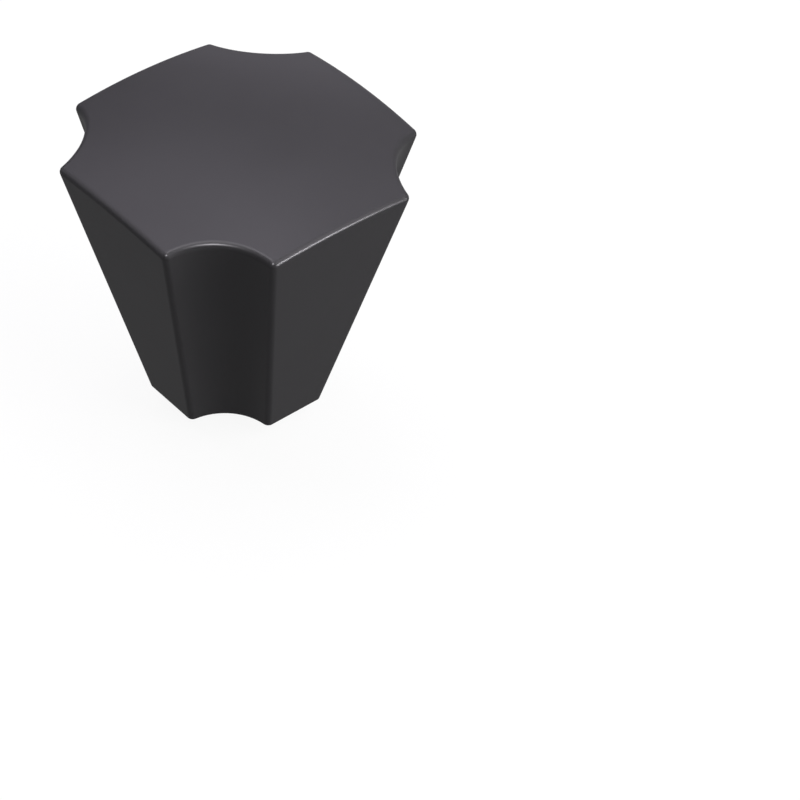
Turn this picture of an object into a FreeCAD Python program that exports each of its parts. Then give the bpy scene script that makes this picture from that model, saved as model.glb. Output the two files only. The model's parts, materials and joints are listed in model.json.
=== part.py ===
import FreeCAD, Part
import math
import os

from FreeCAD import Vector

# A square cabinet knob, cast in one piece. It flares from a narrow foot to a wide,
# gently domed front. Its corners are scooped out into four coves, so each side keeps
# a flat panel. The foot is cut off sharp, and every other edge is round.
#
# The knob's frame: the origin is the middle of the foot, where the screw enters.
# +Z runs along the screw towards the front, and the flat panels face X and Y.
# Sizes are in millimetres and degrees.

# Body
height = 31.05              # from the foot to the middle of the dome
rim_height = 28.75          # from the foot to the corners of the rim
front_width = 32.0          # across opposite panels, at the rim's height
foot_width = 18.4           # across opposite panels, at the foot
front_panel = 16.25         # length of a panel between its two rounded edges, at the rim's height
foot_panel = 6.0            # length of a panel between its two rounded edges, at the foot
front_cove_depth = 1.75     # below a straightedge across the cove's edges, at the rim's height
dome_radius = 73.5
edge_radius = 0.65          # round the rim and along the coves

# Screw hole in the foot, tapped M4
thread_diameter = 4.0       # wall of the tapped stretch, at the roots of the thread
tapping_drill = 3.3
thread_depth = 12.0         # from the foot to the end of the tapped stretch
drill_depth = 15.0          # from the foot to the end of the drill's full width
drill_point_angle = 118.0
countersink_diameter = 5.5  # at the foot
countersink_angle = 90.0

# Spike on the foot, which bites into the wood and stops the knob from turning
spike_offset = 5.2          # from the screw hole's axis, towards the panel that faces -Y
spike_diameter = 1.6        # at the foot
spike_tip_diameter = 0.2
spike_length = 1.7

# How far a shape that is trimmed later, or that trims another, reaches past the cut
overcut = 2.0

ORIGIN = Vector(0, 0, 0)
UP = Vector(0, 0, 1)
SIDES = 4

# The body is built as a sharp-edged core, which lies inside the finished walls by the
# edge radius. Growing it by that radius all round brings every wall out to its size
# and rounds every edge. A panel leans, so its inset is longer measured level.
panel_lean = math.atan((front_width - foot_width) / 2 / rim_height)
panel_inset = edge_radius / math.cos(panel_lean)


def at_height(foot_value, front_value, level):
    """Value of a size that grows evenly from the foot to the rim's height."""
    return foot_value + (front_value - foot_value) * level / rim_height


def core_half(level):
    """Distance of the core's flat walls from the knob's axis."""
    return at_height(foot_width, front_width, level) / 2 - panel_inset


def panel_half(level):
    """Distance of a panel's edges from the panel's middle."""
    return at_height(foot_panel, front_panel, level) / 2


def core_block(low, high):
    """Square block between two levels, with four flat walls that lean out."""
    foot = core_half(low)
    front = core_half(high)
    block = Part.makeWedge(-foot, low, -foot, -front, -front, foot, high, foot, front, front)
    block.rotate(ORIGIN, Vector(1, 0, 0), 90)
    return block


def cove_cone(low, high):
    """Round cone that scoops out the core's corner between +X and +Y.

    The cove's two edges and its deepest line are straight and run to one tip, at the
    level where a panel would be as long as the core is wide. The cone round all three
    lines has its axis at the same angle to each of them.
    """
    foot_gap = core_half(0) - panel_half(0)
    front_gap = core_half(rim_height) - panel_half(rim_height)
    tip_level = rim_height * foot_gap / (foot_gap - front_gap)
    tip = Vector(core_half(tip_level), core_half(tip_level), tip_level)

    edge = Vector(core_half(rim_height), panel_half(rim_height), rim_height)
    other_edge = Vector(edge.y, edge.x, rim_height)
    middle = (edge + other_edge) / 2
    deepest = middle - Vector(1, 1, 0).normalize() * front_cove_depth
    line, other_line, deepest_line = [
        (point - tip).normalize() for point in (edge, other_edge, deepest)]

    axis = (line - deepest_line).cross(other_line - deepest_line).normalize()
    if axis.z < 0:
        axis = -axis
    spread = math.tan(line.getAngle(axis))
    start = (low - tip_level) / axis.z
    end = (high - tip_level) / axis.z
    return Part.makeCone(start * spread, end * spread, end - start, tip + axis * start, axis)


def knob_core():
    """Sharp core, longer than the knob below the foot."""
    low = -overcut
    block = core_block(low, height)
    # The cones lean, so they start lower and end higher than the block by its own width.
    cone = cove_cone(low - foot_width, height + front_width)
    cones = []
    for side in range(SIDES):
        turned = cone.copy()
        turned.rotate(ORIGIN, UP, side * 360 / SIDES)
        cones.append(turned)
    # The ball lies on its side, which keeps its seam and poles off the dome.
    ball_centre = Vector(0, 0, height - dome_radius)
    ball = Part.makeSphere(dome_radius - edge_radius, ball_centre, Vector(-1, 0, 0))
    return block.cut(cones).common(ball).Solids[0]


def below_foot():
    """Block that trims the grown core flat at the foot."""
    depth = overcut + 2 * edge_radius
    half = front_width / 2
    return Part.makeBox(front_width, front_width, depth, Vector(-half, -half, -depth))


def screw_hole():
    """Countersink, tapped stretch and drill point, as one shape turned about the screw's axis."""
    mouth = countersink_diameter / 2
    wall = thread_diameter / 2
    drill = tapping_drill / 2
    flare = math.tan(math.radians(countersink_angle / 2))
    point = drill / math.tan(math.radians(drill_point_angle / 2))
    profile = Part.makePolygon([
        Vector(0, 0, -overcut),
        Vector(mouth + overcut * flare, 0, -overcut),
        Vector(wall, 0, (mouth - wall) / flare),
        Vector(wall, 0, thread_depth),
        Vector(drill, 0, thread_depth),
        Vector(drill, 0, drill_depth),
        Vector(0, 0, drill_depth + point),
        Vector(0, 0, -overcut),
    ])
    return Part.Face(profile).revolve(ORIGIN, UP, 360)


def spike():
    """Pointed peg that stands on the foot and points into the wood."""
    root = Vector(0, -spike_offset, 0)
    return Part.makeCone(spike_diameter / 2, spike_tip_diameter / 2, spike_length, root, -UP)


def knob_body():
    grown = knob_core().makeOffsetShape(edge_radius, 1e-4)
    return grown.cut([below_foot(), screw_hole()]).fuse(spike()).Solids[0]


os.makedirs("parts", exist_ok=True)
body = knob_body()
body.exportStep("parts/knob_body.step")
print("knob_body:", round(body.Volume / 1000, 2), "cm3,", len(body.Faces), "faces, valid:", body.isValid())
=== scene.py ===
# %% [markdown]
# # A square cabinet knob in satin black
#
# The real knob is one zinc casting. It flares from a small foot to a wide, gently domed front,
# its four corners are scooped out into coves, and a tapped hole in the foot takes the screw.
# A black coating covers all of it.
#
# The solid model already has this form at its real size, so it is the frame for everything here.
# We load it first and change nothing about its shape. What is left for us to make is the thread
# in the hole, the coating's finish, and the light that shows both.

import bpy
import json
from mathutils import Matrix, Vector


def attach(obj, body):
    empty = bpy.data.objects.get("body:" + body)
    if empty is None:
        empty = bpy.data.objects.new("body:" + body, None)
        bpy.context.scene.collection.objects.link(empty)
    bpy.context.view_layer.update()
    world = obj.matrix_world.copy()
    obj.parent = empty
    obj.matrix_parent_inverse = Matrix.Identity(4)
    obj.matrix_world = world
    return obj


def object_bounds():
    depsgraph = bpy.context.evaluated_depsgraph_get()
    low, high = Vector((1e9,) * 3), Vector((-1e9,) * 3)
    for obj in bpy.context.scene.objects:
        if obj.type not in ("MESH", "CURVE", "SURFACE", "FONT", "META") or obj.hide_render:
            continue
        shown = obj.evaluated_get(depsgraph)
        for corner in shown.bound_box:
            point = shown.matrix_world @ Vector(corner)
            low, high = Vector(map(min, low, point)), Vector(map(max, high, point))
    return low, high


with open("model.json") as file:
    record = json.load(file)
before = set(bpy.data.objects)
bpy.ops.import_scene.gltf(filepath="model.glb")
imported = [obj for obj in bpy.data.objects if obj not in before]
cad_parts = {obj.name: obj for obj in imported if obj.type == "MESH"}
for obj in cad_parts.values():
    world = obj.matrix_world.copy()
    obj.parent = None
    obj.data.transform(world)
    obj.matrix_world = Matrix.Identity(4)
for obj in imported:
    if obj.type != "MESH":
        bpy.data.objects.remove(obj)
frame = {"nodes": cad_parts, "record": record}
solid_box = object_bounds()
print("solid model:", [tuple(round(1000 * x, 2) for x in corner) for corner in solid_box], "mm")

# %% [markdown]
# ## Helpers
#
# Lengths are easier to read in millimetres, and Blender's unit is the metre, so one factor turns
# one into the other. Colours are easier to read as the hex values of a colour picker. Those are
# sRGB, while shaders count light, so one function makes them linear.
#
# Node trees can be clicked together or written. In code, each node takes several lines to add,
# set and link. One small function does that for every kind of node, in both sorts of tree below.

# %% Helpers
import json
import math

import bpy
from mathutils import Quaternion, Vector

MM = 0.001


def linear(hex_colour):
    """An sRGB colour such as "38363b" as the linear values that shaders take, with alpha 1."""
    values = [int(hex_colour[place:place + 2], 16) / 255 for place in (0, 2, 4)]
    return [v / 12.92 if v <= 0.04045 else ((v + 0.055) / 1.055) ** 2.4 for v in values] + [1.0]


def add_node(tree, kind, settings=None, values=None, links=None):
    """Adds a node. settings are its own options, values go on its inputs, links feed its inputs."""
    node = tree.nodes.new(kind)
    for name, value in (settings or {}).items():
        setattr(node, name, value)
    for name, value in (values or {}).items():
        node.inputs[name].default_value = value
    for name, source in (links or {}).items():
        tree.links.new(source, node.inputs[name])
    return node


def towards(azimuth, elevation):
    """A unit vector, from angles in degrees. Azimuth 0 points to -Y, 90 to +X, elevation 90 up."""
    turn, rise = math.radians(azimuth), math.radians(elevation)
    flat = math.cos(rise)
    return Vector((math.sin(turn) * flat, -math.cos(turn) * flat, math.sin(rise)))


# %% [markdown]
# ## Camera
#
# The knob is seen from well above, over one of its coves, through a long lens: its edges hardly
# converge. It stands in the upper left of the picture, so the camera looks at a point of the floor
# to the right of the foot. A lens shift could do the same, but it would stay on in every other
# view of the knob. The camera leans by three degrees, which keeps the knob upright that far from
# the middle of the picture.

# %% Camera
CAMERA_PLACE = Vector((178.27, -141.53, 207.14)) * MM
CAMERA_AIM = Vector((14.57, 9.77, 0)) * MM
CAMERA_LEAN = 3.06              # degrees about the line of sight
FOCAL_LENGTH = 131.26           # mm, as the sensor's width
SENSOR_WIDTH = 36
NEAREST_SEEN = 10 * MM
FARTHEST_SEEN = 20.0

camera_data = bpy.data.cameras.new("camera")
camera_data.lens = FOCAL_LENGTH
camera_data.sensor_width = SENSOR_WIDTH
camera_data.clip_start = NEAREST_SEEN
camera_data.clip_end = FARTHEST_SEEN
camera = bpy.data.objects.new("camera", camera_data)
bpy.context.scene.collection.objects.link(camera)
bpy.context.scene.camera = camera
line_of_sight = (CAMERA_AIM - CAMERA_PLACE).normalized()
level = line_of_sight.to_track_quat("-Z", "Y")
lean = Quaternion(line_of_sight, math.radians(-CAMERA_LEAN))
camera.location = CAMERA_PLACE
camera.rotation_mode = "QUATERNION"
camera.rotation_quaternion = lean @ level
print("camera looks down by", round(math.degrees(math.asin(-line_of_sight.z)), 1), "degrees")

# %% [markdown]
# ## The coating
#
# Zinc castings like this one get their black from powder coat: a dry powder is sprayed on, clings
# by static charge and is baked until it flows into one film. Three things tell the eye that it is
# powder coat and not bare metal or gloss paint:
#
# - The film is plastic with a mineral filler that dulls it to satin. Its sheen is weak and wide on
#   the faces and gathers to thin bright lines on tight edges.
# - The powder never flows out quite flat. The film keeps a shallow orange peel, with hills a bit
#   under a millimetre apart and a few thousandths of a millimetre high.
# - The sheen varies a little where the film is thicker or thinner.
#
# A picture of such a surface could be wrapped round the knob, but noise in the object's own
# coordinates needs no unwrapping and has no seams. It is also at its real size everywhere.
#
# The gloss needs one trick. Plastic turns into a mirror at grazing angles, and the panels, which
# the camera sees at such an angle, would then show the white floor. The filler keeps the real film
# from doing that. So the plastic gloss of the Principled shader is off, and a small metallic share
# takes its place, because its gloss grows much less towards grazing angles. A slightly grey edge
# tint holds it back a little more there. Share, tint and roughness were matched to the object.

# %% Coating
COATING_DARK = "424143"
COATING_LIGHT = "454446"
GLOSS_SHARE = 0.2
EDGE_TINT = "f3f3f3"
SHEEN_PATCH = 7.0 * MM
PEEL_SPACING = 0.8 * MM
PEEL_HEIGHT = 0.002 * MM
GRAIN_SPACING = 0.16 * MM
GRAIN_HEIGHT = 0.0004 * MM
ROUGHNESS_LOW = 0.3
ROUGHNESS_HIGH = 0.36

# The Mix node has sockets of the same names for each data type. These are the places of the
# colour ones, the two inputs and the output.
MIX_COLOUR_A = 6
MIX_COLOUR_B = 7
MIX_COLOUR_OUT = 2


def satin_black_powder_coat():
    """Baked powder film: weak sheen, orange peel, a finer grain on it, and a sheen that varies."""
    material = bpy.data.materials.new("satin_black_powder_coat")
    material.use_nodes = True
    tree = material.node_tree
    tree.nodes.clear()
    place = add_node(tree, "ShaderNodeTexCoord").outputs["Object"]
    patches = add_node(
        tree, "ShaderNodeTexNoise",
        values={"Scale": 1 / SHEEN_PATCH, "Detail": 3.0, "Roughness": 0.5},
        links={"Vector": place})
    peel = add_node(
        tree, "ShaderNodeTexNoise",
        values={"Scale": 1 / PEEL_SPACING, "Detail": 1.0, "Roughness": 0.4},
        links={"Vector": place})
    grain = add_node(
        tree, "ShaderNodeTexNoise",
        values={"Scale": 1 / GRAIN_SPACING, "Detail": 2.0, "Roughness": 0.5},
        links={"Vector": place})
    colour = add_node(
        tree, "ShaderNodeMix", {"data_type": "RGBA"},
        values={MIX_COLOUR_A: linear(COATING_DARK), MIX_COLOUR_B: linear(COATING_LIGHT)},
        links={"Factor": patches.outputs["Fac"]})
    roughness = add_node(
        tree, "ShaderNodeMapRange",
        values={"To Min": ROUGHNESS_LOW, "To Max": ROUGHNESS_HIGH},
        links={"Value": patches.outputs["Fac"]})
    hills = add_node(
        tree, "ShaderNodeBump",
        values={"Distance": PEEL_HEIGHT},
        links={"Height": peel.outputs["Fac"]})
    relief = add_node(
        tree, "ShaderNodeBump",
        values={"Distance": GRAIN_HEIGHT},
        links={"Height": grain.outputs["Fac"], "Normal": hills.outputs["Normal"]})
    film = add_node(
        tree, "ShaderNodeBsdfPrincipled",
        values={"Specular IOR Level": 0.0, "Metallic": GLOSS_SHARE,
                "Specular Tint": linear(EDGE_TINT)},
        links={"Base Color": colour.outputs[MIX_COLOUR_OUT],
               "Roughness": roughness.outputs["Result"],
               "Normal": relief.outputs["Normal"]})
    add_node(tree, "ShaderNodeOutputMaterial", links={"Surface": film.outputs["BSDF"]})
    return material


coating = satin_black_powder_coat()
knob = frame["nodes"]["knob_body"]
for material_slot in knob.material_slots:
    material_slot.material = coating
print(coating.name, "covers", len(knob.data.polygons), "triangles")

# %% [markdown]
# ## The thread
#
# A tap cuts an M4 thread into the drilled hole, so a ridge winds up the wall. It is 0.7 mm from
# turn to turn, with flanks at 60 degrees and a crest left flat by the 3.3 mm drill. The solid
# model has the plain wall at the roots of the thread, which leaves the ridge to be added.
#
# A ridge could be cut out of the wall with a boolean, but it follows a path, and Geometry Nodes
# are made for that: a Spiral gives the helix, a trapezoid is its section, and Curve to Mesh
# sweeps one along the other. The flared mouth of the hole is a cone of 90 degrees that is drilled
# before the tap goes in, so it also trims the first turn: points of the ridge that would stand in
# the cone are pushed out to it. Those nearest the wall are pushed a little deeper than the cone,
# so that the ridge keeps some thickness there. The root side and the last half turn sink into the
# metal, where no gap or end can show.

# %% Sizes of the thread
PITCH = 0.7 * MM
FLANK_ANGLE = 30                # degrees, half of the 60 between two flanks
CREST_RADIUS = 1.66 * MM
ROOT_SHARE_OF_PITCH = 7 / 8
SINK = 0.02 * MM
STEPS_PER_TURN = 64
MOUTH_RADIUS = 2.75 * MM
TRIM_DEPTH = 0.3                # past the cone, as a share of a point's distance from the crest
ON_THE_WALL = 0.01 * MM
QUARTER_TURN = math.radians(90)

screw_hole = next(m for m in frame["record"]["mounts"] if m["name"] == "screw_hole")
wall_radius = screw_hole["dims"]["r_mm"] * MM
wall_heights = [
    v.co.z for v in knob.data.vertices
    if abs(v.co.xy.length - wall_radius) < ON_THE_WALL]
thread_low, thread_high = min(wall_heights), max(wall_heights)
ridge_width = ROOT_SHARE_OF_PITCH * PITCH + 2 * SINK * math.tan(math.radians(FLANK_ANGLE))
ridge_height = wall_radius + SINK - CREST_RADIUS
crest_width = ridge_width - 2 * ridge_height * math.tan(math.radians(FLANK_ANGLE))
thread_end = thread_high + ridge_width / 2 + SINK
turns = (thread_end - thread_low) / PITCH
print("thread from", round(1000 * thread_low, 2), "to", round(1000 * thread_high, 2), "mm,",
      round(turns, 1), "turns")

# %% Node tree of the thread
tree = bpy.data.node_groups.new("tapped_thread", "GeometryNodeTree")
tree.interface.new_socket("Geometry", in_out="OUTPUT", socket_type="NodeSocketGeometry")
thread_sizes = {
    "Turns": turns,
    "Steps per Turn": STEPS_PER_TURN,
    "Low End": thread_low,
    "Length": thread_end - thread_low,
    "Crest Radius": CREST_RADIUS,
    "Ridge Height": ridge_height,
    "Ridge Width": ridge_width,
    "Crest Width": crest_width,
    "Mouth Radius": MOUTH_RADIUS + SINK,
    "Trim Depth": TRIM_DEPTH,
}
sockets = {}
for name, value in thread_sizes.items():
    kind = "NodeSocketInt" if isinstance(value, int) else "NodeSocketFloat"
    sockets[name] = tree.interface.new_socket(name, in_out="INPUT", socket_type=kind)
size = add_node(tree, "NodeGroupInput").outputs

mid_radius = add_node(
    tree, "ShaderNodeMath", {"operation": "MULTIPLY_ADD"},
    values={1: 0.5},
    links={0: size["Ridge Height"], 2: size["Crest Radius"]})
helix = add_node(
    tree, "GeometryNodeCurveSpiral",
    values={"Reverse": True},
    links={"Resolution": size["Steps per Turn"], "Rotations": size["Turns"],
           "Start Radius": mid_radius.outputs[0], "End Radius": mid_radius.outputs[0],
           "Height": size["Length"]})
upright = add_node(
    tree, "GeometryNodeSetCurveNormal", {"mode": "Z_UP"},
    links={"Curve": helix.outputs["Curve"]})
section = add_node(
    tree, "GeometryNodeCurvePrimitiveQuadrilateral", {"mode": "TRAPEZOID"},
    values={"Offset": 0.0},
    links={"Height": size["Ridge Height"], "Bottom Width": size["Ridge Width"],
           "Top Width": size["Crest Width"]})
turned = add_node(
    tree, "GeometryNodeTransform",
    values={"Rotation": (0, 0, QUARTER_TURN)},
    links={"Geometry": section.outputs["Curve"]})
swept = add_node(
    tree, "GeometryNodeCurveToMesh",
    values={"Fill Caps": True},
    links={"Curve": upright.outputs["Curve"], "Profile Curve": turned.outputs["Geometry"]})
lifting = add_node(tree, "ShaderNodeCombineXYZ", links={"Z": size["Low End"]})
lifted = add_node(
    tree, "GeometryNodeTransform",
    links={"Geometry": swept.outputs["Mesh"], "Translation": lifting.outputs["Vector"]})
print("ridge", round(1000 * ridge_height, 3), "mm high, crest", round(1000 * crest_width, 3),
      "mm wide")

# %% Trim the first turn to the cone of the mouth
point = add_node(tree, "GeometryNodeInputPosition").outputs["Position"]
xyz = add_node(tree, "ShaderNodeSeparateXYZ", links={"Vector": point}).outputs
outward = add_node(tree, "ShaderNodeCombineXYZ", links={"X": xyz["X"], "Y": xyz["Y"]})
radius = add_node(
    tree, "ShaderNodeVectorMath", {"operation": "LENGTH"},
    links={0: outward.outputs["Vector"]}).outputs["Value"]
cone = add_node(
    tree, "ShaderNodeMath", {"operation": "SUBTRACT"},
    links={0: size["Mouth Radius"], 1: xyz["Z"]}).outputs[0]
from_crest = add_node(
    tree, "ShaderNodeMath", {"operation": "SUBTRACT"},
    links={0: radius, 1: size["Crest Radius"]}).outputs[0]
least_radius = add_node(
    tree, "ShaderNodeMath", {"operation": "MULTIPLY_ADD"},
    links={0: from_crest, 1: size["Trim Depth"], 2: cone}).outputs[0]
trimmed_radius = add_node(
    tree, "ShaderNodeMath", {"operation": "MAXIMUM"},
    links={0: radius, 1: least_radius}).outputs[0]
push = add_node(
    tree, "ShaderNodeMath", {"operation": "SUBTRACT"},
    links={0: trimmed_radius, 1: radius}).outputs[0]
direction = add_node(
    tree, "ShaderNodeVectorMath", {"operation": "NORMALIZE"},
    links={0: outward.outputs["Vector"]})
move = add_node(
    tree, "ShaderNodeVectorMath", {"operation": "SCALE"},
    links={0: direction.outputs["Vector"], "Scale": push})
trimmed = add_node(
    tree, "GeometryNodeSetPosition",
    links={"Geometry": lifted.outputs["Geometry"], "Offset": move.outputs["Vector"]})
whole = add_node(
    tree, "GeometryNodeRealizeInstances",
    links={"Geometry": trimmed.outputs["Geometry"]})
coated = add_node(
    tree, "GeometryNodeSetMaterial",
    values={"Material": coating},
    links={"Geometry": whole.outputs["Geometry"]})
add_node(tree, "NodeGroupOutput", links={"Geometry": coated.outputs["Geometry"]})

# %% Make the thread a plain mesh
carrier = bpy.data.objects.new("thread_carrier", bpy.data.meshes.new("thread_carrier"))
bpy.context.scene.collection.objects.link(carrier)
modifier = carrier.modifiers.new("tapped_thread", "NODES")
modifier.node_group = tree
for name, value in thread_sizes.items():
    modifier[sockets[name].identifier] = value
evaluated = carrier.evaluated_get(bpy.context.evaluated_depsgraph_get())
thread_mesh = bpy.data.meshes.new_from_object(evaluated)
thread_mesh.name = "tapped_thread"
bpy.data.objects.remove(carrier)
thread = bpy.data.objects.new("tapped_thread", thread_mesh)
bpy.context.scene.collection.objects.link(thread)
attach(thread, "root")
radii = [v.co.xy.length * 1000 for v in thread_mesh.vertices]
heights = [v.co.z * 1000 for v in thread_mesh.vertices]
print("thread:", len(thread_mesh.polygons), "faces,",
      "radius", round(min(radii), 3), "to", round(max(radii), 3), "mm,",
      "height", round(min(heights), 2), "to", round(max(heights), 2), "mm")

# %% [markdown]
# ## Floor
#
# A knob in a catalogue picture stands on paper so pale that it melts into the background, with
# only a soft shade round the foot. Paper that really is that bright would also throw its light
# back up at the knob and wash out its sides. So the floor's own colour is a plain grey, and only
# rays that look at it see a glow added to it: those of the camera, of reflections and through
# glass. The glow lifts it to white and keeps the shade. From below the floor is clear, so that it
# doesn't hide the foot.
#
# The floor lies at the tip of the spike, the lowest point of the knob.

# %% Floor
FLOOR_HALF_WIDTH = 3.0
FLOOR_COLOUR = "505050"
FLOOR_GLOW = 0.92
FIBRE_SPACING = 0.5 * MM
FIBRE_HEIGHT = 0.004 * MM


def looking_rays(tree):
    """1 for rays of the camera, of reflections and through glass, 0 for those that light things."""
    path = add_node(tree, "ShaderNodeLightPath").outputs
    seen = add_node(
        tree, "ShaderNodeMath", {"operation": "MAXIMUM"},
        links={0: path["Is Camera Ray"], 1: path["Is Glossy Ray"]})
    return add_node(
        tree, "ShaderNodeMath", {"operation": "MAXIMUM"},
        links={0: seen.outputs[0], 1: path["Is Transmission Ray"]}).outputs[0]


def pale_paper():
    """Matt studio paper: a faint tooth of fibres, white to the camera, clear from below."""
    material = bpy.data.materials.new("pale_paper")
    material.use_nodes = True
    tree = material.node_tree
    tree.nodes.clear()
    place = add_node(tree, "ShaderNodeTexCoord").outputs["Object"]
    fibres = add_node(
        tree, "ShaderNodeTexNoise",
        values={"Scale": 1 / FIBRE_SPACING, "Detail": 2.0},
        links={"Vector": place})
    tooth = add_node(
        tree, "ShaderNodeBump",
        values={"Distance": FIBRE_HEIGHT},
        links={"Height": fibres.outputs["Fac"]})
    paper = add_node(
        tree, "ShaderNodeBsdfDiffuse",
        values={"Color": linear(FLOOR_COLOUR)},
        links={"Normal": tooth.outputs["Normal"]})
    strength = add_node(
        tree, "ShaderNodeMath", {"operation": "MULTIPLY"},
        values={1: FLOOR_GLOW},
        links={0: looking_rays(tree)})
    glow = add_node(tree, "ShaderNodeEmission", links={"Strength": strength.outputs[0]})
    lit = add_node(
        tree, "ShaderNodeAddShader",
        links={0: paper.outputs["BSDF"], 1: glow.outputs["Emission"]})
    clear = add_node(tree, "ShaderNodeBsdfTransparent")
    from_below = add_node(tree, "ShaderNodeNewGeometry").outputs["Backfacing"]
    surface = add_node(
        tree, "ShaderNodeMixShader",
        links={0: from_below, 1: lit.outputs["Shader"], 2: clear.outputs["BSDF"]})
    add_node(tree, "ShaderNodeOutputMaterial", links={"Surface": surface.outputs["Shader"]})
    return material


floor_height = solid_box[0].z
floor_corners = [
    (x * FLOOR_HALF_WIDTH, y * FLOOR_HALF_WIDTH, floor_height)
    for x, y in ((-1, -1), (1, -1), (1, 1), (-1, 1))]
floor_mesh = bpy.data.meshes.new("floor")
floor_mesh.from_pydata(floor_corners, [], [(0, 1, 2, 3)])
floor_mesh.materials.append(pale_paper())
floor = bpy.data.objects.new("floor", floor_mesh)
bpy.context.scene.collection.objects.link(floor)
print("floor at", round(1000 * floor_height, 2), "mm")

# %% [markdown]
# ## Light
#
# Two wide soft lamps hang high on the left and behind the knob. They make the domed front the
# brightest face and light it evenly. A third on the right makes the right panel lighter than the
# left one, and a weak one low behind the knob brightens the far edge of the front. The coves,
# which face the camera, stay darkest. The lamps on the front are a very faint violet white, since
# the front has a touch of that colour and the sides are plain grey.
#
# The rounded rim needs more, because a black knob shows its edges by what they mirror. A small
# lamp on the camera's side draws the bright crescent over the near cove, with a dot at each end,
# and another low on the right draws the line along the right edge. A wide weak one softens the
# left edge, and one above adds the pale ridge where the rim meets the front. They would wash out
# the coves if they lit anything, so all four show in reflections only.
#
# The room round it all is an even dark grey. The rim mirrors it between the lamps, which gives
# the edges their dark lines.

# %% Light
LAMP_DISTANCE = 0.6
WHITE = "ffffff"
COOL_WHITE = "f9f5ff"
SOFT_LAMPS = {
    # name: (azimuth and elevation in degrees, width in metres, watts, colour)
    "high_left": (-90, 60, 0.6, 2.55, COOL_WHITE),
    "high_back": (180, 60, 0.6, 1.55, COOL_WHITE),
    "right": (117, 35, 0.5, 2.9, WHITE),
    "low_back": (-135, 10, 0.3, 0.4, COOL_WHITE),
}
EDGE_LAMPS = {
    "camera_side": (45, 42, 0.1, 7.0, WHITE),
    "low_right": (115, 3, 0.12, 7.0, WHITE),
    "left_side": (-45, 28, 0.5, 1.3, WHITE),
    "above": (45, 86, 0.3, 2.2, WHITE),
}
ROOM_BRIGHTNESS = 0.112
lamp_aim = Vector((0, 0, (solid_box[0].z + solid_box[1].z) / 2))


def hang_lamp(name, azimuth, elevation, width, watts, colour):
    """A round lamp that looks at the middle of the knob. No camera sees it, from any side."""
    lamp_data = bpy.data.lights.new(name, "AREA")
    lamp_data.shape = "DISK"
    lamp_data.size = width
    lamp_data.energy = watts
    lamp_data.color = linear(colour)[:3]
    lamp = bpy.data.objects.new(name, lamp_data)
    lamp.visible_camera = False
    bpy.context.scene.collection.objects.link(lamp)
    direction = towards(azimuth, elevation)
    lamp.location = lamp_aim + direction * LAMP_DISTANCE
    lamp.rotation_mode = "QUATERNION"
    lamp.rotation_quaternion = direction.to_track_quat("Z", "Y")
    return lamp


for name, setting in SOFT_LAMPS.items():
    hang_lamp(name, *setting)
for name, setting in EDGE_LAMPS.items():
    hang_lamp(name, *setting).visible_diffuse = False

room = bpy.data.worlds.new("grey_room")
bpy.context.scene.world = room
room.use_nodes = True
room.node_tree.nodes.clear()
even = add_node(
    room.node_tree, "ShaderNodeBackground",
    values={"Color": linear(WHITE), "Strength": ROOM_BRIGHTNESS})
add_node(room.node_tree, "ShaderNodeOutputWorld", links={"Surface": even.outputs["Background"]})
print("lamps:", ", ".join([*SOFT_LAMPS, *EDGE_LAMPS]))

# %% [markdown]
# ## Finish
#
# The colours are shown as they are, with no film look on top.

# %% Finish
bpy.context.scene.view_settings.view_transform = "Standard"
